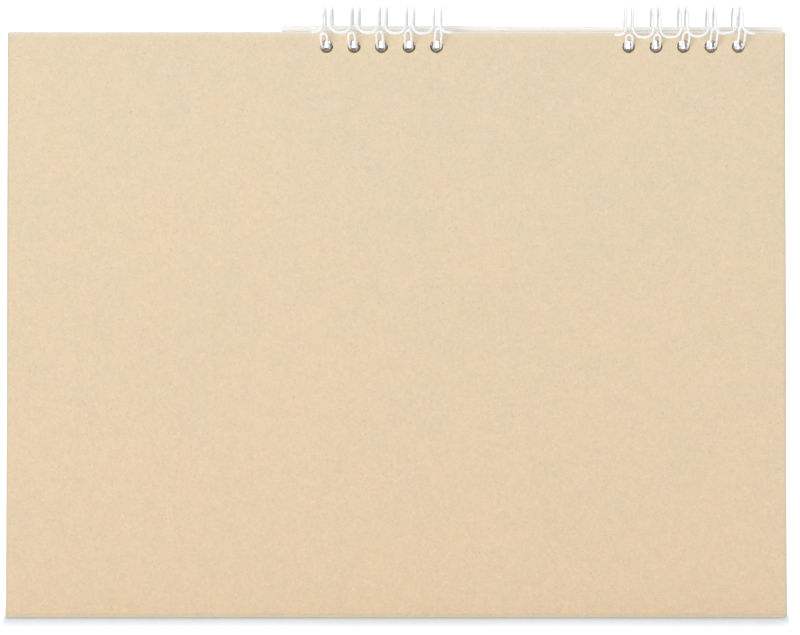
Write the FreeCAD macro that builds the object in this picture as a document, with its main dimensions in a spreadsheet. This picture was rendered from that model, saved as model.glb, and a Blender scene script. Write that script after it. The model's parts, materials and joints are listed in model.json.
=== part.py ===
"""Standing desk calendar: a folded card easel, two twin-loop binding wires and a pad of pages.

Millimetres. +X runs along the folds, +Y points out of the back panel, +Z is up, and the origin is
at the middle of the footprint, on the table. The pages hang on the front, towards -Y.
"""
import FreeCAD
import Part
import Sketcher
import math
import os
from FreeCAD import Placement, Rotation, Vector

doc = FreeCAD.newDocument("desk_calendar")

# ------------------------------------------------------------------------------- driving sizes

SIZES = [
    # the card easel
    ("panel_width", "240", "length of the card's folds"),
    ("panel_height", "181", "base fold to top edge, up the outer face of a panel"),
    ("base_depth", "80", "front fold to back fold, on the table"),
    ("card_thickness", "1.5", "stiff kraft card"),
    ("fold_radius", "2.5", "outside of a base fold"),
    ("apex_gap", "0.4", "between the two panels' inner top edges"),
    ("crease_depth", "0.6", "score under the middle of the base, where it folds flat"),
    ("crease_width", "1.6", "score at the underside"),
    ("hole_diameter", "4", "binding holes in the card"),
    ("hole_drop", "4.4", "card's top edge to the centres of its holes"),
    # the binding wires
    ("wire_diameter", "0.85", "nylon-coated wire"),
    ("loops", "5", "loops on each wire"),
    ("loop_pitch", "8.467", "three loops to the inch"),
    ("leg_spacing", "2.2", "centre to centre of a loop's two legs"),
    ("wire_spacing", "93.1", "middle of one wire to middle of the other"),
    ("ring_radius", "6.95", "centre line of a loop, from its root over the top"),
    ("ring_rise", "1.25", "ring axis above the card's outer top edges"),
    ("seam_clearance", "0.2", "between a loop's root and its own tip, which lies inside it"),
    ("root_bend", "2.5", "bend radius where a leg turns into the run to the next loop"),
    ("root_angle", "13", "place of the roots on the ring, from +Y"),
    ("tip_angle", "350", "place where a loop's tip begins to turn back"),
    ("tail_length", "1", "straight cut end at each end of a wire"),
    # the pages
    ("page_width", "155", "along the card's folds"),
    ("page_height", "169", "from the bound edge down"),
    ("page_stack", "1.4", "thickness of all the sheets"),
    ("page_edge_inset", "0.5", "card's side edge to the pages' side edge"),
    ("page_hole_diameter", "3.5", "binding holes in the pages, just wider than a loop"),
    ("page_margin", "5.6", "bound edge to the centres of the holes"),
    ("page_gap", "0.45", "between the pages and the front panel"),
    ("page_play", "0.1", "holes' path inside the loops' centre line"),
]

sizes = doc.addObject("Spreadsheet::Sheet", "sizes")
for row, (name, value, note) in enumerate(SIZES, start=1):
    sizes.set(f"A{row}", name)
    sizes.set(f"B{row}", value)
    sizes.setAlias(f"B{row}", name)
    sizes.set(f"C{row}", note)
doc.recompute()

# ------------------------------------------------- places that follow from the driving sizes

WORKED = [
    # how far each panel leans from upright, so that the panels' inner top edges nearly meet
    ("lean", "App::PropertyAngle",
     "asin((sizes.base_depth - sizes.apex_gap) / 2"
     " / sqrt(sizes.panel_height ^ 2 + sizes.card_thickness ^ 2))"
     " - atan(sizes.card_thickness / sizes.panel_height)"),
    # the ring axis is over the middle of the base
    ("ring_height", "App::PropertyFloat", "sizes.panel_height * cos(lean) + sizes.ring_rise"),
    # ring axis to the outer face of either panel, square to the panel
    ("face_offset", "App::PropertyFloat",
     "(sizes.apex_gap / 2 + sizes.card_thickness * cos(lean)) * cos(lean)"
     " - sizes.ring_rise * sin(lean)"),
    # base fold to the foot of the ring axis, up the panel's face
    ("ring_along", "App::PropertyFloat",
     "sizes.base_depth / 2 * sin(lean) + ring_height * cos(lean)"),
    # front panel's outer face to the middle of the pages
    ("page_standoff", "App::PropertyFloat", "sizes.page_gap + sizes.page_stack / 2"),
    # base fold to the pages' holes, up the panel's face: the holes ride on the loops
    ("page_hole_along", "App::PropertyFloat",
     "ring_along - sqrt((sizes.ring_radius - sizes.page_play) ^ 2"
     " - (face_offset + page_standoff) ^ 2)"),
    ("page_centre", "App::PropertyFloat",
     "sizes.page_edge_inset + (sizes.page_width - sizes.panel_width) / 2"),
    ("first_hole", "App::PropertyFloat",
     "page_centre - sizes.wire_spacing / 2 - (sizes.loops - 1) / 2 * sizes.loop_pitch"),
]

worked = doc.addObject("App::VarSet", "worked")
for name, kind, rule in WORKED:
    worked.addProperty(kind, name)
    worked.setExpression(name, rule)
    doc.recompute()


def size(name):
    """A driving size as a plain number of millimetres, degrees or pieces."""
    return float(sizes.get(name))


def place(name):
    """A worked length as a plain number of millimetres."""
    return float(getattr(worked, name))


# --------------------------------------------------------------------------- modelling helpers

ALONG_FOLDS = Vector(1, 0, 0)
START, END, CENTRE = range(1, 4)      # points of a sketch element
X_AXIS, Y_AXIS = range(-1, -3, -1)    # a sketch's own axes
ORIGIN = (X_AXIS, START)


def origin_feature(body, role):
    return next(f for f in body.Origin.OriginFeatures if f.Role == role)


def add_sketch(body, name, plane):
    sketch = body.newObject("Sketcher::SketchObject", name)
    sketch.AttachmentSupport = [(origin_feature(body, plane), "")]
    sketch.MapMode = "FlatFace"
    return sketch


def bind(sketch, name, kind, *where, to):
    """Adds a dimension, named and bound to an expression."""
    index = sketch.addConstraint(Sketcher.Constraint(kind, *where, sketch.evalExpression(to)))
    sketch.renameConstraint(index, name)
    sketch.setExpression(f"Constraints.{name}", to)


def lean_sketch(sketch, side, standoff):
    """Lays a sketch on a panel: origin at the base fold, +y up the panel's outer face.

    side is +1 for the back panel and -1 for the front one. standoff is an expression for the
    distance outwards from the panel's outer face.
    """
    turn = "" if side > 0 else "-"
    out = "-" if side > 0 else ""
    # the turn needs its axis first, and an axis is kept only with some angle
    sketch.AttachmentOffset = Placement(Vector(), Rotation(ALONG_FOLDS, worked.lean.Value))
    sketch.setExpression("AttachmentOffset.Rotation.Angle", f"{turn}worked.lean")
    sketch.setExpression("AttachmentOffset.Base.y", f"({standoff}) * sin(worked.lean)")
    sketch.setExpression("AttachmentOffset.Base.z",
                         f"{out}(sizes.base_depth / 2 + ({standoff}) * cos(worked.lean))")


def punch_holes(body, side, standoff, along, diameter, depth, both_panels):
    """Cuts the binding holes of both wires, square to the card or pages."""
    sketch = add_sketch(body, "hole", "XZ_Plane")
    lean_sketch(sketch, side, standoff)
    sketch.setExpression("AttachmentOffset.Base.x", "worked.first_hole")
    centre = Vector(0, sketch.evalExpression(along), 0)
    circle = Part.Circle(centre, Vector(0, 0, 1), sketch.evalExpression(diameter) / 2)
    sketch.addGeometry(circle, False)
    sketch.addConstraint(Sketcher.Constraint("PointOnObject", 0, CENTRE, Y_AXIS))
    bind(sketch, "diameter", "Diameter", 0, to=diameter)
    bind(sketch, "height", "DistanceY", *ORIGIN, 0, CENTRE, to=along)

    pocket = body.newObject("PartDesign::Pocket", "punch")
    pocket.Profile = sketch
    pocket.Midplane = True
    pocket.setExpression("Length", depth)
    doc.recompute()

    holes = body.newObject("PartDesign::MultiTransform", "holes")
    holes.Originals = [pocket]
    along_x = (origin_feature(body, "X_Axis"), [""])
    steps = []
    for step_name, spacing, count in (("loops", "sizes.loop_pitch", "sizes.loops"),
                                      ("wires", "sizes.wire_spacing", "2")):
        pattern = body.newObject("PartDesign::LinearPattern", step_name)
        pattern.Direction = along_x
        pattern.Mode = "Spacing"
        pattern.setExpression("Offset", spacing)
        pattern.setExpression("Occurrences", count)
        steps.append(pattern)
    if both_panels:
        mirror = body.newObject("PartDesign::Mirrored", "front_panel")
        mirror.MirrorPlane = (origin_feature(body, "XZ_Plane"), [""])
        steps.append(mirror)
    holes.Transformations = steps
    body.Tip = holes


# --------------------------------------------------------------------------------- easel stand

def easel_stand():
    """One strip of card: back panel, base and front panel, folded into an open-ended tent."""
    body = doc.addObject("PartDesign::Body", "easel_stand")
    sketch = add_sketch(body, "half_section", "YZ_Plane")
    lean = math.radians(worked.lean.Value)
    half, height, card = size("base_depth") / 2, size("panel_height"), size("card_thickness")
    outside, inside = size("fold_radius"), size("fold_radius") - card
    up = Vector(-math.sin(lean), math.cos(lean), 0)
    out = Vector(math.cos(lean), math.sin(lean), 0)
    down = Vector(0, -1, 0)
    fold = Vector(half, 0, 0)
    heart = Vector(half - outside * (1 + math.sin(lean)) / math.cos(lean), outside, 0)
    top = fold + up * height
    inner_top = top - out * card
    mid_bend = (down + out).normalize()
    crease_edge = Vector(size("crease_width") / 2, 0, 0)
    crease_root = Vector(0, size("crease_depth"), 0)
    centre_top = Vector(0, card, 0)

    outline = [
        Part.LineSegment(crease_edge, heart + down * outside),
        Part.Arc(heart + down * outside, heart + mid_bend * outside, heart + out * outside),
        Part.LineSegment(heart + out * outside, top),
        Part.LineSegment(top, inner_top),
        Part.LineSegment(inner_top, heart + out * inside),
        Part.Arc(heart + out * inside, heart + mid_bend * inside, heart + down * inside),
        Part.LineSegment(heart + down * inside, centre_top),
        Part.LineSegment(centre_top, crease_root),
        Part.LineSegment(crease_root, crease_edge),
    ]
    (under, outer_bend, outer_face, top_cut, inner_face,
     inner_bend, floor, middle, crease) = range(len(outline))
    sketch.addGeometry(outline, False)
    face_line = sketch.addGeometry(Part.LineSegment(fold, top), True)

    def rule(kind, *where):
        sketch.addConstraint(Sketcher.Constraint(kind, *where))

    # Part.Arc turns anticlockwise, so the inner bend runs from its lower to its upper end
    rule("Tangent", under, END, outer_bend, START)
    rule("Tangent", outer_bend, END, outer_face, START)
    rule("Coincident", outer_face, END, top_cut, START)
    rule("Coincident", top_cut, END, inner_face, START)
    rule("Tangent", inner_face, END, inner_bend, END)
    rule("Tangent", inner_bend, START, floor, START)
    rule("Coincident", floor, END, middle, START)
    rule("Coincident", middle, END, crease, START)
    rule("Coincident", crease, END, under, START)
    rule("Coincident", outer_bend, CENTRE, inner_bend, CENTRE)
    rule("PointOnObject", under, START, X_AXIS)
    rule("Horizontal", under)
    rule("Horizontal", floor)
    rule("PointOnObject", middle, START, Y_AXIS)
    rule("Vertical", middle)
    rule("Perpendicular", outer_face, top_cut)
    rule("PointOnObject", face_line, START, X_AXIS)
    rule("Coincident", face_line, END, top_cut, START)
    rule("PointOnObject", outer_face, START, face_line)
    bind(sketch, "half_base", "DistanceX", *ORIGIN, face_line, START, to="sizes.base_depth / 2")
    bind(sketch, "panel", "Distance", face_line, to="sizes.panel_height")
    bind(sketch, "edge", "Distance", top_cut, to="sizes.card_thickness")
    bind(sketch, "bend", "Radius", outer_bend, to="sizes.fold_radius")
    bind(sketch, "floor", "DistanceY", *ORIGIN, middle, START, to="sizes.card_thickness")
    bind(sketch, "gap", "DistanceX", *ORIGIN, top_cut, END, to="sizes.apex_gap / 2")
    bind(sketch, "score", "DistanceY", *ORIGIN, crease, START, to="sizes.crease_depth")
    bind(sketch, "score_half", "DistanceX", *ORIGIN, under, START, to="sizes.crease_width / 2")
    doc.recompute()

    half_card = body.newObject("PartDesign::Pad", "half_card")
    half_card.Profile = sketch
    half_card.Midplane = True
    half_card.setExpression("Length", "sizes.panel_width")
    doc.recompute()
    card_sheet = body.newObject("PartDesign::Mirrored", "card_sheet")
    card_sheet.Originals = [half_card]
    card_sheet.MirrorPlane = (origin_feature(body, "XZ_Plane"), [""])
    body.Tip = card_sheet
    doc.recompute()

    # through one panel's card only: the cut reaches a third of a thickness past each face
    punch_holes(body, side=1, standoff="-sizes.card_thickness / 2",
                along="sizes.panel_height - sizes.hole_drop", diameter="sizes.hole_diameter",
                depth="sizes.card_thickness * 5 / 3", both_panels=True)
    return body


# ---------------------------------------------------------------------------------- page block

def page_block():
    """The pad of sheets, which hangs on both wires, flat against the front panel."""
    body = doc.addObject("PartDesign::Body", "page_block")
    standoff = "worked.page_standoff"
    sketch = add_sketch(body, "sheet", "XZ_Plane")
    lean_sketch(sketch, -1, standoff)
    sketch.setExpression("AttachmentOffset.Base.x", "worked.page_centre")
    half, top = size("page_width") / 2, place("page_hole_along") + size("page_margin")
    low = top - size("page_height")
    corners = [Vector(-half, low, 0), Vector(half, low, 0), Vector(half, top, 0), Vector(-half, top, 0)]
    sides = [Part.LineSegment(a, b) for a, b in zip(corners, corners[1:] + corners[:1])]
    bottom_edge, right_edge, top_edge, left_edge = range(len(sides))
    sketch.addGeometry(sides, False)
    for edge in range(len(sides)):
        following = (edge + 1) % len(sides)
        sketch.addConstraint(Sketcher.Constraint("Coincident", edge, END, following, START))
    sketch.addConstraint(Sketcher.Constraint("Horizontal", bottom_edge))
    sketch.addConstraint(Sketcher.Constraint("Vertical", right_edge))
    sketch.addConstraint(Sketcher.Constraint("Vertical", left_edge))
    sketch.addConstraint(
        Sketcher.Constraint("Symmetric", top_edge, START, top_edge, END, Y_AXIS))
    bind(sketch, "width", "DistanceX", bottom_edge, START, bottom_edge, END, to="sizes.page_width")
    bind(sketch, "height", "DistanceY", right_edge, START, right_edge, END, to="sizes.page_height")
    bind(sketch, "top", "DistanceY", *ORIGIN, right_edge, END,
         to="worked.page_hole_along + sizes.page_margin")
    doc.recompute()

    stack = body.newObject("PartDesign::Pad", "stack")
    stack.Profile = sketch
    stack.Midplane = True
    stack.setExpression("Length", "sizes.page_stack")
    doc.recompute()
    punch_holes(body, side=-1, standoff=standoff, along="worked.page_hole_along",
                diameter="sizes.page_hole_diameter", depth="sizes.page_stack * 2",
                both_panels=False)
    return body


# --------------------------------------------------------------------------------------- wires

def on_ring(centre, radius, degrees, x):
    """A point of a circle round the ring axis. The angle runs from +Y towards +Z."""
    angle = math.radians(degrees)
    return centre + Vector(x, radius * math.cos(angle), radius * math.sin(angle))


def along_ring(degrees):
    """The way the angle grows at a place on the ring."""
    angle = math.radians(degrees)
    return Vector(0, -math.sin(angle), math.cos(angle))


def binding_wire(label, side):
    """One length of wire bent into hairpin loops, closed so that each tip lies inside its root.

    Made round its own ring axis: x from the middle of the wire, the axis at y = z = 0. Each loop
    is a hairpin that leaves its root at the back, goes over the top, down the front, through the
    front and back holes, and up to its tip inside the root. Every stretch is an arc or a straight.
    """
    wire_radius = size("wire_diameter") / 2
    count, pitch = int(size("loops")), size("loop_pitch")
    half_leg, bend, tail = size("leg_spacing") / 2, size("root_bend"), size("tail_length")
    root, tip, crown = size("root_angle"), size("tip_angle"), size("root_angle") + 180
    # the second arc's centre is shifted towards the front, which brings the tip inside the root
    shift = (size("wire_diameter") + size("seam_clearance")) / 2
    wide, narrow = size("ring_radius"), size("ring_radius") - shift
    axis = Vector()
    shifted = on_ring(axis, shift, crown, 0)
    corner = math.sin(math.pi / 4)
    edges = []

    def arc(start, middle, end):
        edges.append(Part.Arc(start, middle, end).toShape())
        return end

    def straight(start, end):
        edges.append(Part.LineSegment(start, end).toShape())
        return end

    def bend_point(x, side_way):
        """The middle of a root bend at the leg at x, which turns towards side_way."""
        heart = on_ring(axis, wide, root, x) + ALONG_FOLDS * (bend * side_way)
        return heart - (ALONG_FOLDS * side_way + along_ring(root)) * (bend * corner)

    def bend_foot(x, side_way):
        return (on_ring(axis, wide, root, x) + ALONG_FOLDS * (bend * side_way)
                - along_ring(root) * bend)

    def leg(x, outbound):
        places = [on_ring(axis, wide, root, x), on_ring(axis, wide, (root + crown) / 2, x),
                  on_ring(axis, wide, crown, x), on_ring(shifted, narrow, (crown + tip) / 2, x),
                  on_ring(shifted, narrow, tip, x)]
        if not outbound:
            places.reverse()
        arc(*places[:3])
        arc(*places[2:])

    first = -(count - 1) / 2 * pitch
    start = bend_foot(first - half_leg, -1)
    begin = start - ALONG_FOLDS * tail
    straight(begin, start)
    for loop in range(count):
        left, right = first + loop * pitch - half_leg, first + loop * pitch + half_leg
        arc(bend_foot(left, -1), bend_point(left, -1), on_ring(axis, wide, root, left))
        leg(left, outbound=True)
        tip_top = on_ring(shifted, narrow, tip, (left + right) / 2) + along_ring(tip) * half_leg
        arc(on_ring(shifted, narrow, tip, left), tip_top, on_ring(shifted, narrow, tip, right))
        leg(right, outbound=False)
        foot = arc(on_ring(axis, wide, root, right), bend_point(right, 1), bend_foot(right, 1))
        last = loop == count - 1
        straight(foot, foot + ALONG_FOLDS * tail if last else bend_foot(right + pitch - 2 * half_leg, -1))

    path = Part.Wire(edges)
    section = Part.Wire([Part.Circle(begin, ALONG_FOLDS, wire_radius).toShape()])
    feature = doc.addObject("Part::Feature", label)
    feature.Shape = path.makePipeShell([section], True, False)
    expected = math.pi * wire_radius ** 2 * path.Length
    print(f"{label}: wire length {path.Length:.1f}, volume {feature.Shape.Volume:.2f}"
          f" against {expected:.2f}")
    feature.setExpression("Placement.Base.x", f"worked.page_centre + {side} * sizes.wire_spacing / 2")
    feature.setExpression("Placement.Base.z", "worked.ring_height")
    return feature


# --------------------------------------------------------------------------- build, check, write

nodes = {
    "easel_stand": easel_stand(),
    "page_block": page_block(),
    "wire_side": binding_wire("wire_side", -1),
    "wire_middle": binding_wire("wire_middle", 1),
}
for label, feature in nodes.items():
    feature.Label = label
doc.recompute()

for item in doc.Objects:
    if "Invalid" in item.State or "Error" in item.State:
        raise RuntimeError(f"{item.Label} did not compute: {item.State}")
for label, feature in nodes.items():
    shape = feature.Shape
    if shape.isNull() or not shape.isValid() or len(shape.Solids) != 1:
        raise RuntimeError(f"{label} is not one valid solid")

os.makedirs("parts", exist_ok=True)
print(f"ring axis at z {place('ring_height'):.4f}, panels lean {worked.lean.Value:.4f} degrees")
for label, feature in nodes.items():
    feature.Shape.exportStep(f"parts/{label}.step")
    box = feature.Shape.BoundBox
    print(f"{label}: volume {feature.Shape.Volume:.1f},"
          f" x {box.XMin:.2f}..{box.XMax:.2f}, y {box.YMin:.2f}..{box.YMax:.2f},"
          f" z {box.ZMin:.2f}..{box.ZMax:.2f}")
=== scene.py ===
"""Looks of the standing desk calendar, in metres, in the model's own frame.

+X runs along the card's folds, +Y points out of the back panel and +Z is up. The sections follow
the calendar as it is put together: card easel, binding wires, sheets, print, then the studio.
"""
import bmesh
import bpy
import json
import math
import random
from mathutils import Matrix, Vector


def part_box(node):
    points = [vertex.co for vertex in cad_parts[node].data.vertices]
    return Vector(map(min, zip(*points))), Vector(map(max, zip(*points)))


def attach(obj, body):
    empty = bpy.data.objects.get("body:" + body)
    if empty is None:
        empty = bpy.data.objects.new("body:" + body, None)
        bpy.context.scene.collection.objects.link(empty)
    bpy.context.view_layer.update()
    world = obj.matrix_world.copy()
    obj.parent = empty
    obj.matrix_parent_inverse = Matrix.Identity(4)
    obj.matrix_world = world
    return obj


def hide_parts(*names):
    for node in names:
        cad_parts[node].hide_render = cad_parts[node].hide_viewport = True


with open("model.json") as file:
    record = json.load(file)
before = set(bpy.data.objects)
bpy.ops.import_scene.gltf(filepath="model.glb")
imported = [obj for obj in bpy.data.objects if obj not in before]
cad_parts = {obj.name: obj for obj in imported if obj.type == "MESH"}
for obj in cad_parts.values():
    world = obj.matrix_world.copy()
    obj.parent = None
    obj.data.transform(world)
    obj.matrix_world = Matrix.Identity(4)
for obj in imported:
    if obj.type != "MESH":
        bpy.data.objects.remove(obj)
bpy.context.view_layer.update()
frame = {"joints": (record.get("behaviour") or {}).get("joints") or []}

# =============================================================================== card easel
# One strip of stiff kraft card, scored and folded into an open-ended tent: back panel, base with
# a centre crease, and front panel. The two panels are punched along their top edges, five holes
# for each binding wire, before the card is folded.

MM = 0.001
card = 1.5 * MM
fold_radius, fold_flats = 2.5 * MM, 14         # outside of a base fold, and the flats round it
apex_gap = 0.4 * MM                            # between the panels' inner top edges
crease_half, crease_depth = 0.8 * MM, 0.6 * MM
hole_radius, hole_drop, hole_flats = 2.0 * MM, 4.4 * MM, 32
pressed_round, cut_round = 0.35 * MM, 0.16 * MM      # of the strip's outer edges, of the others
fold_nicks, nick_reach = {1: 0.6 * MM, -1: 1.1 * MM}, 3 * MM     # at the ends of the folds
on_edge = MM / 10                              # a point this near to an edge lies on it
loop_pitch, loops = 8.467 * MM, 5
card_low, card_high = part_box("easel_stand")
panel_width = card_high.x - card_low.x
ring_axis = Vector(frame["joints"][0]["pos_m"])
wire_middles = {name: sum(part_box(name), Vector()).x / 2 for name in ("wire_side", "wire_middle")}
fold_heart = Vector((0, card_high.y - fold_radius, fold_radius))

# the panels' lean follows from the height of their top edges and the place of the folds, and six
# rounds settle it
lean = 0.0
for _ in range(6):
    rise = Vector((0, apex_gap / 2 + card * math.cos(lean), card_high.z)) - fold_heart
    lean = math.atan2(-rise.y, rise.z) + math.asin(fold_radius / rise.length)
panel_run = math.sqrt(rise.length ** 2 - fold_radius ** 2)    # straight part of a panel
up_panel = {side: Vector((0, -side * math.sin(lean), math.cos(lean))) for side in (1, -1)}
out_of_panel = {side: Vector((0, side * math.cos(lean), math.sin(lean))) for side in (1, -1)}


def on_panel(side, x, drop, out=0.0):
    """A point by a panel: drop below its top edge, out from its outer face. Back panel is +1."""
    top = Vector((0, side * (apex_gap / 2 + card * math.cos(lean)), card_high.z))
    return top + Vector((x, 0, 0)) - up_panel[side] * drop + out_of_panel[side] * out


def name_piece(piece, name):
    """Names a piece and its mesh."""
    piece.name = piece.data.name = name


def add(kind, name, **settings):
    """A new primitive, alone in the selection, in edit mode with all of it selected."""
    bpy.ops.object.select_all(action="DESELECT")
    getattr(bpy.ops.mesh, f"primitive_{kind}_add")(**settings)
    piece = bpy.context.object
    name_piece(piece, name)
    bpy.ops.object.mode_set(mode="EDIT")
    return piece


def choose_edges(test):
    """In edit mode, selects the edges whose middle passes a test, and nothing else."""
    mesh = bpy.context.object.data
    bpy.ops.mesh.select_mode(type="EDGE")
    bpy.ops.mesh.select_all(action="DESELECT")
    shape = bmesh.from_edit_mesh(mesh)
    for edge in shape.edges:
        start, end = edge.verts
        edge.select_set(bool(test((start.co + end.co) / 2)))
    shape.select_flush_mode()
    bmesh.update_edit_mesh(mesh)


def cut_across(point, normal):
    """In edit mode, adds a loop of edges right through the shape."""
    bpy.ops.mesh.select_all(action="SELECT")
    bpy.ops.mesh.bisect(plane_co=point, plane_no=normal)


def turn(heart, axis, degrees, steps):
    """Carries the selected end round a heart, right-handed about the axis."""
    bpy.ops.mesh.spin(steps=steps, angle=math.radians(degrees), center=heart, axis=-Vector(axis))


def face_outwards(merge=None):
    """In edit mode, merges doubles nearer than a distance, and turns the faces outwards."""
    bpy.ops.mesh.select_all(action="SELECT")
    if merge:
        bpy.ops.mesh.remove_doubles(threshold=merge)
    bpy.ops.mesh.normals_make_consistent(inside=False)


def settle(piece):
    """Leaves edit mode with the piece's place in its mesh."""
    bpy.ops.object.mode_set(mode="OBJECT")
    bpy.ops.object.transform_apply(location=True, rotation=True, scale=True)
    return piece


def pick(pieces):
    """Selects these pieces alone, the first one active."""
    bpy.ops.object.select_all(action="DESELECT")
    for piece in pieces:
        piece.select_set(True)
    bpy.context.view_layer.objects.active = pieces[0]


def finish_with(piece, kind, **settings):
    """Adds a modifier and applies it."""
    pick([piece])
    modifier = piece.modifiers.new(kind.title(), kind)
    for setting, value in settings.items():
        setattr(modifier, setting, value)
    bpy.ops.object.modifier_apply(modifier=modifier.name)


def punch(piece, cutters):
    """Cuts the shape of each cutter out of a piece and drops the cutters."""
    for cutter in cutters:
        finish_with(piece, "BOOLEAN", object=cutter, operation="DIFFERENCE", solver="EXACT")
        bpy.data.objects.remove(cutter)


def panel_punch(side, x):
    """A round cutter through a panel, square to it."""
    tilt = Vector((0, 0, 1)).rotation_difference(out_of_panel[side]).to_euler()
    return settle(add("cylinder", "punch", vertices=hole_flats, radius=hole_radius, depth=2 * card,
                      location=on_panel(side, x, hole_drop, -card / 2), rotation=tilt))


def ease(value, low, high):
    """0 at low and 1 at high, with a soft start and end."""
    share = min(max((value - low) / (high - low), 0.0), 1.0)
    return share * share * (3 - 2 * share)


def board_depth(point):
    """How deep a point lies in the board, from 0 on its outer face to 1 on its inner one."""
    here = Vector((point.x, abs(point.y), point.z))
    from_heart = Vector((0, here.y - fold_heart.y, here.z - fold_heart.z))
    if from_heart.y <= 0 and here.z < fold_heart.z:
        return here.z / card
    if from_heart.dot(up_panel[1]) <= 0:
        return (fold_radius - from_heart.length) / card
    return -(here - on_panel(1, here.x, 0)).dot(out_of_panel[1]) / card


# half the strip, from the crease to the back panel's top edge, and then its mirror image, with
# cuts near the edges that keep the large faces flat
easel = add("plane", "card_easel", size=1, location=(0, fold_heart.y / 2, 0))
bpy.ops.transform.resize(value=(panel_width, fold_heart.y, 1))
settle(easel)
bpy.ops.object.mode_set(mode="EDIT")
cut_across((0, crease_half, 0), (0, 1, 0))
choose_edges(lambda middle: middle.y < crease_half / 2 and abs(middle.x) < MM)
bpy.ops.transform.translate(value=(0, 0, crease_depth))
choose_edges(lambda middle: middle.y > fold_heart.y - on_edge)
turn(fold_heart, (1, 0, 0), 90 + math.degrees(lean), fold_flats)
bpy.ops.mesh.extrude_region_move(TRANSFORM_OT_translate={"value": up_panel[1] * panel_run})
for drop in (1 * MM, 2 * hole_drop, panel_run - 1 * MM, panel_run):
    cut_across(on_panel(1, 0, drop), up_panel[1])
for back_off in (1 * MM, 6 * MM):
    cut_across((0, fold_heart.y - back_off, 0), (0, 1, 0))
for inset in (1 * MM, 3 * MM):
    for end in (1, -1):
        cut_across((end * (panel_width / 2 - inset), 0, 0), (1, 0, 0))
settle(easel)

# the die nicks the strip in at the ends of its folds, more at one side than at the other
for corner in easel.data.vertices:
    nick = fold_nicks[1 if corner.co.x > 0 else -1]
    if abs(corner.co.x) > panel_width / 2 - on_edge and corner.co.z < nick:
        depth = nick * (1 - math.sqrt(1 - (1 - corner.co.z / nick) ** 2))
        depth *= ease(corner.co.y, fold_heart.y - nick_reach, fold_heart.y)
        corner.co.x -= math.copysign(depth, corner.co.x)

finish_with(easel, "MIRROR", use_axis=(False, True, False), use_mirror_merge=True,
            merge_threshold=MM / 100)
bpy.ops.object.mode_set(mode="EDIT")
face_outwards()
settle(easel)
finish_with(easel, "SOLIDIFY", thickness=card, offset=-1, use_even_offset=True)

# the die presses the strip's outer edges round, and leaves its inner ones and the holes sharper
outer_skin = 0.02                              # as a share of the board's thickness
bpy.ops.object.mode_set(mode="EDIT")
choose_edges(lambda middle: board_depth(middle) < outer_skin
             and (abs(middle.x) > panel_width / 2 - on_edge or middle.z > card_high.z - MM / 100))
bpy.ops.mesh.bevel(offset=pressed_round, offset_type="OFFSET", segments=4, affect="EDGES")
settle(easel)
hole_places = [middle + (loop - (loops - 1) / 2) * loop_pitch
               for middle in wire_middles.values() for loop in range(loops)]
punch(easel, [panel_punch(side, x) for side in (1, -1) for x in hole_places])
finish_with(easel, "BEVEL", width=cut_round, segments=3, limit_method="ANGLE",
            angle_limit=math.radians(40), use_clamp_overlap=True)


def smooth(piece, degrees):
    """Rounds the shading over soft edges and keeps large faces flat."""
    pick([piece])
    bpy.ops.object.shade_smooth_by_angle(angle=math.radians(degrees))
    finish_with(piece, "WEIGHTED_NORMAL", mode="FACE_AREA", keep_sharp=True)


smooth(easel, 35)


class Signal:
    """An output of a node. Arithmetic on it adds Math nodes to the same tree."""

    def __init__(self, wiring, socket):
        self.wiring, self.socket = wiring, socket

    def math(self, operation, *values):
        return self.wiring.node("Math", {"operation": operation}, dict(enumerate(values)))

    def __add__(self, other):
        return self.math("ADD", self, other)

    def __sub__(self, other):
        return self.math("SUBTRACT", self, other)

    def __rsub__(self, other):
        return self.math("SUBTRACT", other, self)

    def __mul__(self, other):
        return self.math("MULTIPLY", self, other)

    def __abs__(self):
        return self.math("ABSOLUTE", self)

    __radd__, __rmul__ = __add__, __mul__


class Wiring:
    """A node tree that is filled one node at a time."""

    def __init__(self, tree):
        self.tree = tree

    def feed(self, socket, value):
        if isinstance(value, Signal):
            self.tree.links.new(value.socket, socket)
        else:
            socket.default_value = value

    def node(self, kind, settings, inputs, output=0):
        """A new node: its settings first, then the values or links of its sockets."""
        made = self.tree.nodes.new("ShaderNode" + kind)
        for setting, value in settings.items():
            setattr(made, setting, value)
        for socket, value in inputs.items():
            self.feed(made.inputs[socket], value)
        return Signal(self, made.outputs[output])


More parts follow.
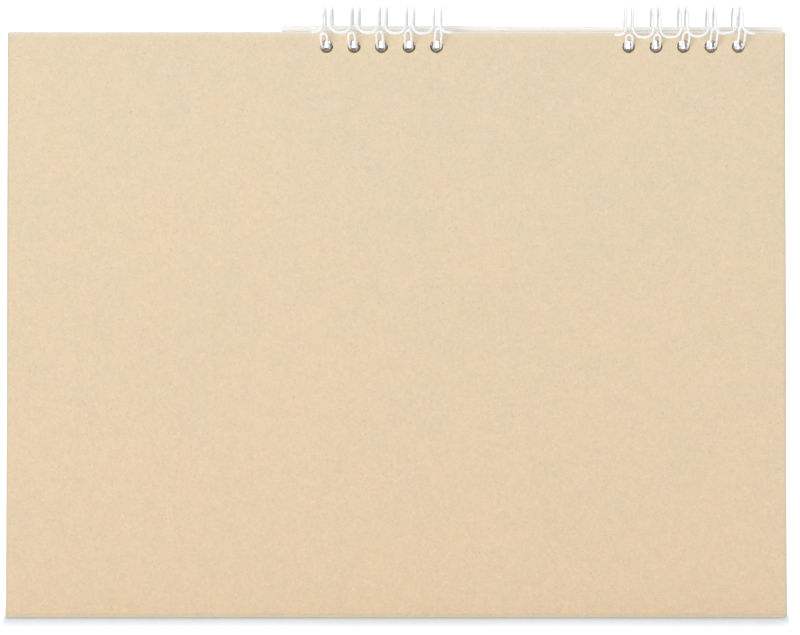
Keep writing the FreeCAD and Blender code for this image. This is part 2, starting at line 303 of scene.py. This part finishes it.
class Finish(Wiring):
    """A material whose look comes from its nodes, round one principled shader."""

    def __init__(self, name, constants):
        self.material = bpy.data.materials.new(name)
        self.material.use_nodes = True
        super().__init__(self.material.node_tree)
        self.shader = self.tree.nodes["Principled BSDF"]
        for socket, value in constants.items():
            self.shader.inputs[socket].default_value = value

    def coordinates(self, scale=(1, 1, 1), turned=(0, 0, 0)):
        """Object coordinates, stretched and turned."""
        spot = self.node("TexCoord", {}, {}, "Object")
        return self.node("Mapping", {}, {"Vector": spot, "Scale": scale, "Rotation": turned})

    def part(self, spot, axis):
        """One of the three coordinates of a place."""
        return self.node("SeparateXYZ", {}, {"Vector": spot}, axis)

    def noise(self, spot, feature, detail=2.0, roughness=0.5, distortion=0.0):
        """Noise from 0 to 1 whose blotches are about one feature wide, a length in metres."""
        return self.node("TexNoise", {}, {"Vector": spot, "Scale": 1 / feature, "Detail": detail,
                                          "Roughness": roughness, "Distortion": distortion})

    def between(self, value, low, high):
        """0 below low, 1 above high, with a soft step."""
        return self.node("MapRange", {"interpolation_type": "SMOOTHSTEP"},
                         {"Value": value, "From Min": low, "From Max": high})

    def mix(self, share, first, second, kind="MIX"):
        """One colour over another."""
        return self.node("Mix", {"data_type": "RGBA", "blend_type": kind},
                         {0: share, 6: first, 7: second}, 2)

    def under(self, colour, *layers):
        """A colour under others that are laid on in turn, each with its own share."""
        for share, layer in layers:
            colour = self.mix(share, colour, layer)
        return colour

    def colour(self, value):
        self.feed(self.shader.inputs["Base Color"], value)

    def roughness(self, value):
        self.feed(self.shader.inputs["Roughness"], value)

    def bump(self, height, strength, distance):
        self.feed(self.shader.inputs["Normal"],
                  self.node("Bump", {}, {"Height": height, "Strength": strength,
                                         "Distance": distance}))


def tone(red, green, blue):
    """A colour in 0 to 255 display values, as the shader takes it."""
    return tuple(c / 12.92 if c <= 0.04045 else ((c + 0.055) / 1.055) ** 2.4
                 for c in (red / 255, green / 255, blue / 255)) + (1.0,)


def fibres(finish, spot, length, thickness, share):
    """Short curved hairs: thin lines along the level lines of a noise, broken by another."""
    lines = abs(finish.noise(spot, length, 1.0, 0.5, 0.8) - 0.5)
    hairs = 1 - finish.between(lines, thickness * 0.4, thickness)
    return hairs * finish.between(finish.noise(spot, length * 0.7, 0.0), 1 - share, 1.06 - share)


kraft = Finish("kraft_card_face", {"Specular IOR Level": 0.25})
spot = kraft.coordinates()
turned_spot = kraft.coordinates(turned=(0.5, 1.0, 0.2))
pulp = kraft.noise(spot, 0.35 * MM, 4.0, 0.62)
light_hairs = fibres(kraft, spot, 1.6 * MM, 0.035, 0.44)
dark_hairs = fibres(kraft, kraft.coordinates(turned=(0.7, 0.4, 1.1)), 1.3 * MM, 0.030, 0.40)
flecks = kraft.between(kraft.noise(spot, 1.1 * MM, 1.0), 0.70, 0.76)
height = kraft.part(spot, "Z")
# painted light: the card's face is painted lighter and less ruddy towards its top, where more
# light falls
painted_light_towards_top = kraft.between(height, -40 * MM, card_high.z + 20 * MM)
kraft_tone = kraft.mix(painted_light_towards_top, tone(224, 202, 169), tone(227, 210, 178))
# uneven felting and formation: how light the pulp is, how ruddy and how yellow
for blotch, most in ((pulp, (1.08, 1.08, 1.085, 1)),
                     (kraft.noise(turned_spot, 1.2 * MM, 4.0, 0.68), (1.046, 1.046, 1.048, 1)),
                     (kraft.noise(spot, 3.2 * MM, 4.0, 0.68), (1.032, 1.031, 1.030, 1)),
                     (kraft.noise(spot, 9.0 * MM, 4.0, 0.68), (1.040, 0.998, 1.010, 1)),
                     (kraft.noise(turned_spot, 8.0 * MM, 4.0, 0.68), (1.0, 1.004, 0.972, 1)),
                     (kraft.noise(turned_spot, 45.0 * MM, 4.0, 0.68), (1.026, 1.006, 0.996, 1))):
    kraft_tone = kraft.mix(kraft.between(blotch, 0.32, 0.68), kraft_tone, most, "MULTIPLY")
# the card is paler in a band along its top edges, partly rubbed and partly painted light where the
# rounded edge turns from the lamps
rubbing_and_painted_edge_light = kraft.between(height, card_high.z - 3.0 * MM, card_high.z + 0.3 * MM)
# painted light: the card's lowest 1.6 mm, the folds' undersides and the base, is painted pale
# against the shade where it meets the table
painted_foot_light = 1 - kraft.between(height, 0.4 * MM, 1.6 * MM)
# painted shade: the card is painted grey along its side edges, where their rounding turns from the
# light
painted_side_shade = kraft.between(abs(kraft.part(spot, "X")), panel_width / 2 - 1.1 * MM,
                        panel_width / 2 + 0.1 * MM)
kraft.colour(kraft.under(kraft_tone,
                         (light_hairs * 0.42, tone(246, 230, 203)),
                         (dark_hairs * 0.30, tone(206, 181, 145)),
                         (flecks * 0.2, tone(198, 172, 136)),
                         (rubbing_and_painted_edge_light * rubbing_and_painted_edge_light * rubbing_and_painted_edge_light * 0.75, tone(242, 234, 220)),
                         (painted_foot_light * 0.95, tone(254, 243, 219)),
                         (painted_side_shade * 0.65, tone(203, 198, 183))))
kraft.roughness(0.80 + 0.14 * pulp)
kraft.bump(pulp * 0.6 + light_hairs * 0.25 + dark_hairs * 0.2, 0.45, 0.05 * MM)

# the cut edges show the board's five plies and their fluff; along the top edges they are painted
# pale, a painted highlight over the shade at the panels' tops
cut_board = Finish("kraft_card_cut", {"Specular IOR Level": 0.2})
cut_spot = cut_board.coordinates()
depth_in_board = cut_board.node("Attribute", {"attribute_name": "ply"}, {}, "Fac")
wander = cut_board.noise(cut_board.coordinates(scale=(0.35, 0.35, 0.35)), 0.9 * MM, 2.0)
fluff = cut_board.noise(cut_spot, 0.12 * MM, 3.0, 0.65)
plies = cut_board.node("Math", {"operation": "SINE"},
                       {0: (depth_in_board * 5 + wander) * math.tau})
painted_top_highlight = cut_board.between(cut_board.part(cut_spot, "Z"), card_high.z - 0.9 * MM,
                             card_high.z - 0.3 * MM)
cut_board.colour(cut_board.under(tone(214, 198, 170),
                                 (cut_board.between(plies, -1, 1) * 0.6, tone(231, 220, 200)),
                                 (cut_board.between(fluff, 0.45, 0.75) * 0.5, tone(202, 181, 150)),
                                 (painted_top_highlight * 0.85, tone(255, 249, 240))))
cut_board.roughness(0.92)
cut_board.bump(fluff * 0.7 + plies * 0.15, 0.6, 0.08 * MM)

# a face is a cut one where it runs across the board
ply = easel.data.attributes.new("ply", "FLOAT", "POINT")
for index, vertex in enumerate(easel.data.vertices):
    ply.data[index].value = board_depth(vertex.co)
for finish in (kraft, cut_board):
    easel.data.materials.append(finish.material)
for face in easel.data.polygons:
    depths = [ply.data[index].value for index in face.vertices]
    shallow, deep = min(depths), max(depths)
    face.material_index = int(deep - shallow > 0.25 and shallow < 0.9 and deep > 0.1)

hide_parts("easel_stand")
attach(easel, "stand")

# =========================================================================== binding wires
# Two lengths of white coated steel wire, each bent by a binding machine into five hairpin loops
# on a straight root. They are pressed closed through card and sheets, tips inside the roots.

wire_diameter, wire_sides = 0.85 * MM, 14
ring_radius, seam_clearance = 6.95 * MM, 0.2 * MM
root_angle, root_bend, tail_length = 13.0, 2.5 * MM, 1.0 * MM
half_leg = 1.1 * MM                      # half the distance between a hairpin's two legs
root_steps, ring_steps, tip_steps, hairpin_steps = 6, 26, 24, 12
crown_angle = root_angle + 180
along_folds = Vector((1, 0, 0))
seam_shift = (wire_diameter + seam_clearance) / 2
tip_radius = ring_radius - seam_shift
# what the hand press leaves, loop by loop from -X: closing angles in degrees, then how far the
# rings and the tips lean along the folds in mm, and the turn of the root at its ends and runs
tip_angles = {"wire_side": (360, 354, 345, 338, 338), "wire_middle": (354, 350, 347, 344, 341)}
ring_leans = {"wire_side": (0.30, -0.16, 0.10, 0.08, -0.28),
              "wire_middle": (-0.52, -0.60, -0.58, -0.62, -0.64)}
tip_leans = {"wire_side": (-0.85, -0.77, -0.66, -0.18, 0.0),
             "wire_middle": (-0.55, 0.31, 0.66, 0.84, 0.90)}
root_turns = {"wire_side": (-0.5, 0.4, -8.0, -10.2, -11.0, -4.2),
              "wire_middle": (2.0, -0.4, 0.0, 1.6, 1.8, 2.5)}
pinch = 0.13                             # how far the press pinches the hairpins in, as a share
# where these bends begin and end, in degrees round the ring from the root at the back
root_low, root_high, ring_end = 336, 90, 330
root_fades, tip_leans_over = (14, 75), (252, 358)
ring_leans_over, ring_rights_over = (32, 90), (180, 240)
outer_side = ring_radius - 0.56 * wire_diameter
snip_round = 0.07 * MM                   # of the wire's cut ends


def on_ring(radius, degrees, x, shift=0.0):
    """A point round the ring axis, from +Y towards +Z, with the centre moved towards the crown."""
    angle, crown = math.radians(degrees), math.radians(crown_angle)
    return Vector((x, radius * math.cos(angle) + shift * math.cos(crown),
                   radius * math.sin(angle) + shift * math.sin(crown)))


def along_ring(degrees):
    """The way that a ring runs at an angle."""
    return Vector((0, -math.sin(math.radians(degrees)), math.cos(math.radians(degrees))))


def run_on(x):
    """Carries the selected end straight along the folds."""
    bpy.ops.mesh.extrude_region_move(TRANSFORM_OT_translate={"value": along_folds * x})


def bend_wire(name):
    """Bends a wire round its own ring axis, x from its middle, the axis at y = z = 0."""
    first = -(loops - 1) / 2 * loop_pitch
    out_way = along_ring(root_angle)
    bend_axis = along_folds.cross(out_way)
    start = on_ring(ring_radius, root_angle, first - half_leg - root_bend - tail_length)
    wire = add("circle", f"bent_{name}", vertices=wire_sides, radius=wire_diameter / 2,
               fill_type="NGON", location=start - out_way * root_bend,
               rotation=(0, math.pi / 2, 0))
    run_on(tail_length)
    seam_centre = on_ring(0, 0, 0, seam_shift)
    for loop, tip in enumerate(tip_angles[name]):
        left, right = first + loop * loop_pitch - half_leg, first + loop * loop_pitch + half_leg
        turn(on_ring(ring_radius, root_angle, left - root_bend), bend_axis, 90, root_steps)
        turn(Vector(), along_folds, 180, ring_steps)
        turn(seam_centre, along_folds, tip - crown_angle, tip_steps)
        hairpin = on_ring(tip_radius, tip, (left + right) / 2, seam_shift)
        turn(hairpin, along_ring(tip).cross(along_folds), 180, hairpin_steps)
        turn(seam_centre, -along_folds, tip - crown_angle, tip_steps)
        turn(Vector(), -along_folds, 180, ring_steps)
        turn(on_ring(ring_radius, root_angle, right + root_bend), bend_axis, 90, root_steps)
        last = loop == loops - 1
        run_on(tail_length if last else loop_pitch - 2 * half_leg - 2 * root_bend)
    face_outwards(merge=MM / 1000)
    return settle(wire)


def press_unevenly(wire, name):
    """Small bends that the press leaves: rings and tips lean, roots turn and open a little."""
    for vertex in wire.data.vertices:
        spot = vertex.co
        angle = math.degrees(math.atan2(spot.z, spot.y)) % 360
        rise = angle if angle < ring_end else 0
        in_row = min(max(spot.x / loop_pitch + loops / 2, 0), loops)
        loop = min(int(in_row), loops - 1)
        across = spot.x - (loop - (loops - 1) / 2) * loop_pitch
        outside = math.hypot(spot.y, spot.z) > outer_side
        if outside and (angle > root_low or angle < root_high):
            here, there = root_turns[name][loop], root_turns[name][loop + 1]
            turned = math.radians(here + (there - here) * (in_row - loop))
            spot.yz = Matrix.Rotation(turned * (1 - ease(rise, *root_fades)), 2) @ spot.yz
            tip_share = 0.0
        else:
            tip_share = ease(angle if angle > root_high else angle + 360, *tip_leans_over)
        spot.x -= across * pinch * tip_share
        spot.x += tip_leans[name][loop] * MM * tip_share
        spot.x += (ring_leans[name][loop] * MM * ease(rise, *ring_leans_over)
                   * (1 - ease(rise, *ring_rights_over)))


def vector_maths(finish, operation, *values):
    """Vector maths on places and lengths."""
    return finish.node("VectorMath", {"operation": operation}, dict(enumerate(values)),
                       "Value" if operation == "LENGTH" else 0)


coated = Finish("coated_wire_white", {"Coat Weight": 0.35, "Coat Roughness": 0.12})
skin = coated.coordinates()
peel = coated.noise(skin, 0.25 * MM, 2.0)
handling = coated.noise(skin, 2.2 * MM, 3.0, 0.6)
# painted shade: the loops are painted grey on their inner side in front of the card, standing in
# for shade on the far strands
from_axis = vector_maths(coated, "SUBTRACT", skin, ring_axis)
forward = coated.part(from_axis, "Y") * -1
ring_reach = vector_maths(coated, "LENGTH", vector_maths(coated, "MULTIPLY", from_axis, (0, 1, 1)))
inner = 1 - coated.between(ring_reach, ring_radius - 0.2 * MM, ring_radius + 0.3 * MM)
coated.colour(coated.under(tone(251, 250, 249),
                           (coated.between(handling, 0.45, 0.75) * 0.5, tone(240, 239, 238)),
                           (inner * coated.between(forward, 0.3 * MM, 3.5 * MM),
                            tone(221, 219, 218))))
coated.roughness(0.24 + 0.16 * coated.between(handling, 0.4, 0.7))
coated.bump(peel, 0.25, 0.012 * MM)
snipped = Finish("snipped_wire_end", {"Metallic": 1.0})
scratches = snipped.noise(snipped.coordinates(scale=(1, 1, 6)), 0.1 * MM, 3.0)
snipped.colour(snipped.mix(scratches, tone(150, 152, 156), tone(205, 206, 208)))
snipped.roughness(0.3 + 0.3 * scratches)

for name, middle in wire_middles.items():
    wire = bend_wire(name)
    press_unevenly(wire, name)
    bpy.ops.object.mode_set(mode="EDIT")
    bpy.ops.transform.translate(value=ring_axis + along_folds * middle)
    settle(wire)
    finish_with(wire, "BEVEL", width=snip_round, segments=2, limit_method="ANGLE",
                angle_limit=math.radians(70))
    smooth(wire, 50)
    for finish in (coated, snipped):
        wire.data.materials.append(finish.material)
    for face in wire.data.polygons:      # only the two snipped ends have many corners
        face.material_index = int(len(face.vertices) > 8)
    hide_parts(name)
    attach(wire, "stand")

# ================================================================================= sheets
# Thirteen loose sheets of matt uncoated paper, each punched with ten round holes, that hang on
# the binding wires and lie on the front panel. The lower corners curl up from being leafed.

page_width, page_height = 155 * MM, 169 * MM
page_stack, page_gap, sheets = 1.4 * MM, 0.45 * MM, 13
paper, sheet_pitch = 0.09 * MM, 0.107 * MM
page_margin, page_hole_radius, page_hole_flats = 5.6 * MM, 1.75 * MM, 28
page_columns, foot_rows, bend_step = 44, 22, 3 * MM      # of the mesh that lets a sheet bend
foot_curl, curl_start = 0.25 * MM, 0.6         # the start as a share of the page's height
corner_curls = ((1, 62 * MM, 2.3 * MM), (-1, 44 * MM, 1.2 * MM))      # side, reach and height
least_curl = 0.15                              # of the lowest sheet, as a share of the front one's
top_askew, least_askew, most_askew = 0.0042, -0.0012, 0.0022          # radians
rise_through_stack, lowest_ride, ride_scatter = 0.54, 0.20, 0.04      # mm
page_low, page_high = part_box("page_block")
page_middle = (page_low.x + page_high.x) / 2
# the sheets' own frame: x along the folds, y up the front panel from its top edge, z off it
front = Matrix((along_folds, up_panel[-1], out_of_panel[-1])).transposed().to_4x4()
front.translation = on_panel(-1, 0, 0)
page_top = (page_high.z - front.translation.z
            - (page_gap + page_stack) * out_of_panel[-1].z) / up_panel[-1].z
page_foot = page_top - page_height
hole_line = page_top - page_margin


def curl(x, y):
    """How far the front sheet lifts at a place: its free corners most, its foot a little."""
    lift = foot_curl * ease(-y, page_height * curl_start, page_height) ** 2
    for side, reach, height in corner_curls:
        inward = (page_width / 2 - side * (x - page_middle) + (y - page_foot)) / math.sqrt(2)
        lift += height * max(0.0, 1 - inward / reach) ** 2
    return lift


def lay_on_front(piece, share=1.0):
    """Bends a flat piece with the sheets and lays it on the front panel."""
    for vertex in piece.data.vertices:
        vertex.co.z += share * curl(vertex.co.x, vertex.co.y)
    piece.data.transform(front)
    piece.data.update()


def page_sheet(name):
    """One flat sheet, punched, with its back face at z = 0."""
    sheet = add("plane", name, size=1, location=(page_middle, page_foot + page_height / 2, 0))
    bpy.ops.transform.resize(value=(page_width, page_height, 1))
    for step in range(1, page_columns):
        across = (step / page_columns - 0.5) * page_width
        cut_across((page_middle + across, 0, 0), (1, 0, 0))
    for step in range(1, foot_rows):
        cut_across((0, page_foot + step * bend_step, 0), (0, 1, 0))
    cut_across((0, hole_line - page_hole_radius - MM, 0), (0, 1, 0))
    settle(sheet)
    finish_with(sheet, "SOLIDIFY", thickness=paper, offset=1)
    punch(sheet, [settle(add("cylinder", "punch", vertices=page_hole_flats,
                             radius=page_hole_radius, depth=10 * paper,
                             location=(x, hole_line, 0))) for x in hole_places])
    return sheet


def copy_of(piece, name):
    """A copy with its own mesh."""
    twin = piece.copy()
    twin.data = piece.data.copy()
    name_piece(twin, name)
    bpy.context.collection.objects.link(twin)
    return twin


def join(pieces, name):
    """Makes one piece of several."""
    pick(pieces)
    bpy.ops.object.join()
    name_piece(pieces[0], name)
    return pieces[0]


flat_sheet = page_sheet("flat_sheet")
random.seed(7)
stack = []
for number in range(sheets):
    sheet = copy_of(flat_sheet, f"sheet_{number + 1:02d}")
    through_stack = number / (sheets - 1)
    # each hangs a little askew, and the loops carry the upper ones higher
    askew = top_askew if number == sheets - 1 else random.uniform(least_askew, most_askew)
    ride_up = (rise_through_stack * through_stack - lowest_ride
               + random.uniform(-ride_scatter, ride_scatter)) * MM
    pivot = Vector((page_middle, hole_line, 0))
    swing = (Matrix.Translation(pivot + Vector((0, ride_up, page_gap + number * sheet_pitch)))
             @ Matrix.Rotation(askew, 4, "Z") @ Matrix.Translation(-pivot))
    sheet.data.transform(swing)
    lay_on_front(sheet, share=least_curl + (1 - least_curl) * through_stack ** 2)
    stack.append(sheet)
bpy.data.objects.remove(flat_sheet)
month_sheet, month_swing = stack.pop(), swing
name_piece(month_sheet, "month_sheet")
following_sheets = join(stack, "following_sheets")

uncoated = Finish("uncoated_paper", {"Specular IOR Level": 0.3})
leaf = uncoated.coordinates()
formation = uncoated.noise(leaf, 3.5 * MM, 4.0, 0.6)
tooth = uncoated.noise(leaf, 0.09 * MM, 3.0, 0.6)
paper_hairs = fibres(uncoated, leaf, 0.9 * MM, 0.03, 0.42)
uncoated.colour(uncoated.under(tone(252, 251, 248),
                               (uncoated.between(formation, 0.3, 0.7), tone(254, 253, 251)),
                               (paper_hairs * 0.2, tone(241, 238, 230)),
                               (uncoated.between(tooth, 0.5, 0.8) * 0.12, tone(243, 241, 234))))
uncoated.roughness(0.72 + 0.16 * tooth)
uncoated.bump(tooth * 0.7 + formation * 0.3, 0.25, 0.015 * MM)

for piece in (month_sheet, following_sheets):
    smooth(piece, 30)
    piece.data.materials.append(uncoated.material)
    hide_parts("page_block")
    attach(piece, "pages")

# ================================================================================== print
# The month on the front sheet: a large month number, a row of initials for the days, ruled cells
# with the dates, and a small view of the month after. It is offset ink, a few microns thick.

ink_lift, ink_thickness = 0.012 * MM, 0.012 * MM
number_size, date_size, initial_size, small_size = 15 * MM, 4.0 * MM, 2.5 * MM, 1.5 * MM
figure_share = 0.729                           # of the type's size that a figure is high
number_drop, initial_rise = 33 * MM, 2.6 * MM  # from the page's top, and over the grid
date_inset, date_drop = 1.6 * MM, 6.0 * MM     # in a date's cell
bar_low, bar_high = 8.0 * MM, 8.7 * MM         # over the grid
half_rule, half_foot_rule = 0.11 * MM, 0.15 * MM
first_day, days, days_after = 3, 31, 31        # the month begins on the fourth column
side_margin, columns, rows = 10 * MM, 7, 5
left_edge = page_middle - page_width / 2 + side_margin
cell_width = (page_width - 2 * side_margin) / columns
right_edge = left_edge + columns * cell_width
grid_top, grid_foot = page_top - 45 * MM, page_foot + 10 * MM
cell_height = (grid_top - grid_foot) / rows
# the month after, small, at the right of the head
small_width, small_height = 5.6 * MM, 3.6 * MM
small_left, small_top = right_edge - 6.5 * small_width, page_top - 15.2 * MM


def ink_finish(name, dense, thin):
    """Ink that soaks unevenly into the paper."""
    ink = Finish(name, {"Specular IOR Level": 0.35})
    soak = ink.noise(ink.coordinates(), 0.16 * MM, 3.0, 0.65)
    ink.colour(ink.mix(ink.between(soak, 0.48, 0.78) * 0.7, tone(*dense), tone(*thin)))
    ink.roughness(0.5 + 0.25 * soak)
    return ink.material


inks = {"charcoal": ink_finish("charcoal_ink", (52, 52, 56), (84, 84, 88)),
        "rust": ink_finish("rust_ink", (188, 88, 66), (206, 122, 102)),
        "rule": ink_finish("rule_ink", (176, 172, 164), (196, 192, 184))}


def printed_text(text, ink, x, y, height, align="LEFT"):
    """Figures or an initial as thin ink, its foot at y. Height is the figures' own."""
    bpy.ops.object.select_all(action="DESELECT")
    bpy.ops.object.text_add()
    words = bpy.context.object
    words.data.body, words.data.size = text, height / figure_share
    words.data.align_x, words.data.resolution_u = align, 3
    words.data.extrude = ink_thickness / 2
    bpy.ops.object.convert(target="MESH")
    words = bpy.context.object
    words.data.transform(Matrix.Translation((x, y, ink_thickness / 2)))
    words.data.materials.clear()
    words.data.materials.append(inks[ink])
    return words


def printed_rule(ink, low, high):
    """A rule across the grid between two heights, cut so that it bends with the sheet."""
    length = right_edge - left_edge
    rule = add("plane", "rule", size=1,
               location=((left_edge + right_edge) / 2, (low + high) / 2, 0))
    bpy.ops.transform.resize(value=(length, high - low, 1))
    lengths = int(length / bend_step) + 1
    for step in range(1, lengths):
        cut_across((left_edge + length * step / lengths, 0, 0), (1, 0, 0))
    settle(rule)
    finish_with(rule, "SOLIDIFY", thickness=ink_thickness, offset=1)
    rule.data.materials.append(inks[ink])
    return rule


def day_ink(column):
    """The first day of the week is printed in the second colour."""
    return "rust" if column == 0 else "charcoal"


printing = [printed_text("7", "charcoal", left_edge, page_top - number_drop, number_size),
            printed_rule("rust", grid_top + bar_low, grid_top + bar_high)]
for row in range(rows):
    y = grid_top - row * cell_height
    printing.append(printed_rule("rule", y - half_rule, y + half_rule))
printing.append(printed_rule("charcoal", grid_foot - half_foot_rule, grid_foot + half_foot_rule))
for column, initial in enumerate("SMTWTFS"):
    printing.append(printed_text(initial, day_ink(column), left_edge + (column + 0.5) * cell_width,
                                 grid_top + initial_rise, initial_size, "CENTER"))
for day in range(1, days + 1):
    row, column = divmod(first_day + day - 1, columns)
    printing.append(printed_text(str(day), day_ink(column),
                                 left_edge + column * cell_width + date_inset,
                                 grid_top - row * cell_height - date_drop, date_size))
for day in range(1, days_after + 1):
    row, column = divmod((first_day + days) % columns + day - 1, columns)
    printing.append(printed_text(str(day), day_ink(column), small_left + column * small_width,
                                 small_top - row * small_height, small_size, "CENTER"))
month_print = join(printing, "month_print")
bpy.ops.object.mode_set(mode="EDIT")
face_outwards(merge=MM / 2000)
settle(month_print)
month_print.data.transform(Matrix.Translation((0, 0, paper + ink_lift)))
month_print.data.transform(month_swing)
lay_on_front(month_print)
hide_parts("page_block")
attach(month_print, "pages")

# ================================================================================= studio
# A pale table in a soft light tent. A low wide key lamp lights the card's back from the left, a
# fill lamp the sheets, and a small lamp overhead draws the short shadow at the calendar's foot.

paint = Finish("table_paint", {"Roughness": 0.9, "Specular IOR Level": 0.1})
table_spot = paint.coordinates()
haze = paint.noise(table_spot, 120 * MM, 2.0)
paint.colour(paint.mix(haze * 0.3, tone(231, 238, 250), tone(236, 241, 251)))
# the table shines by itself to the eye, less near the calendar's foot, where its shadow lies
shine_at_foot, shine_added, shine_reach = 0.205, 0.95, 32 * MM
end_steepness = 12                             # times steeper beyond the ends of the card
beyond_foot = vector_maths(paint, "SUBTRACT", vector_maths(paint, "ABSOLUTE", table_spot),
                           (card_high.x, card_high.y, 0))
beyond_foot = vector_maths(paint, "MAXIMUM", beyond_foot, (0, 0, 0))
beyond_foot = vector_maths(paint, "MULTIPLY", beyond_foot, (end_steepness, 1, 1))
shine = paint.between(vector_maths(paint, "LENGTH", beyond_foot), 0, shine_reach)
glow = paint.node("Emission", {}, {"Color": (0.91, 0.97, 1, 1),
                                   "Strength": shine_at_foot + shine * shine_added})
plain_paint = Signal(paint, paint.shader.outputs[0])
lit_paint = paint.node("AddShader", {}, {0: plain_paint, 1: glow})


def seen_rays(wiring):
    """1 where the eye meets a thing straight, in a gloss or through glass, 0 for other light."""
    seen = wiring.node("LightPath", {}, {}, "Is Camera Ray")
    for ray in ("Is Glossy Ray", "Is Transmission Ray"):
        seen = wiring.node("Math", {"operation": "MAXIMUM"},
                           {0: seen, 1: wiring.node("LightPath", {}, {}, ray)})
    return seen


paint.feed(paint.tree.nodes["Material Output"].inputs["Surface"],
           paint.node("MixShader", {}, {0: seen_rays(paint), 1: plain_paint, 2: lit_paint}))
table = settle(add("plane", "table_top", size=12))
table.data.materials.append(paint.material)

calendar_middle = Vector((0, 0, 0.09))


def lamp(name, place, width, height, power):
    """A soft lamp that faces the calendar, in metres and watts."""
    bpy.ops.object.light_add(type="AREA", location=place)
    light = bpy.context.object
    name_piece(light, name)
    light.data.shape, light.data.energy = "RECTANGLE", power
    light.data.size, light.data.size_y = width, height
    light.rotation_euler = (Vector(place) - calendar_middle).to_track_quat("Z", "Y").to_euler()


lamp("key_lamp", (1.0, 2.1, 0.30), 1.4, 0.5, 19.1)
lamp("fill_lamp", (-0.7, -1.9, 1.2), 1.2, 1.2, 10.5)
lamp("top_lamp", (0.05, -0.40, 1.8), 0.20, 0.20, 8)

world = bpy.data.worlds.new("light_tent")
bpy.context.scene.world = world
world.use_nodes = True
tent = Wiring(world.node_tree)
tent_light = tent.node("Background", {}, {"Color": (1, 1, 1, 1), "Strength": 0.57})
backdrop = tent.node("Background", {}, {"Color": (1, 1, 1, 1), "Strength": 1.0})
tent.feed(tent.tree.nodes["World Output"].inputs["Surface"],
          tent.node("MixShader", {}, {0: seen_rays(tent), 1: tent_light, 2: backdrop}))

camera_rise, camera_reach = math.radians(10.5), 1.2
aim = Vector((-0.00112, 0.020, 0.09083))
view_way = Vector((0, math.cos(camera_rise), math.sin(camera_rise)))
bpy.ops.object.camera_add(location=aim + view_way * camera_reach)
camera = bpy.context.object
name_piece(camera, "table_camera")
camera.rotation_euler = view_way.to_track_quat("Z", "Y").to_euler()
camera.data.lens, camera.data.sensor_width, camera.data.clip_start = 175.4, 36, 0.05
bpy.context.scene.camera = camera
bpy.context.scene.view_settings.view_transform = "Standard"
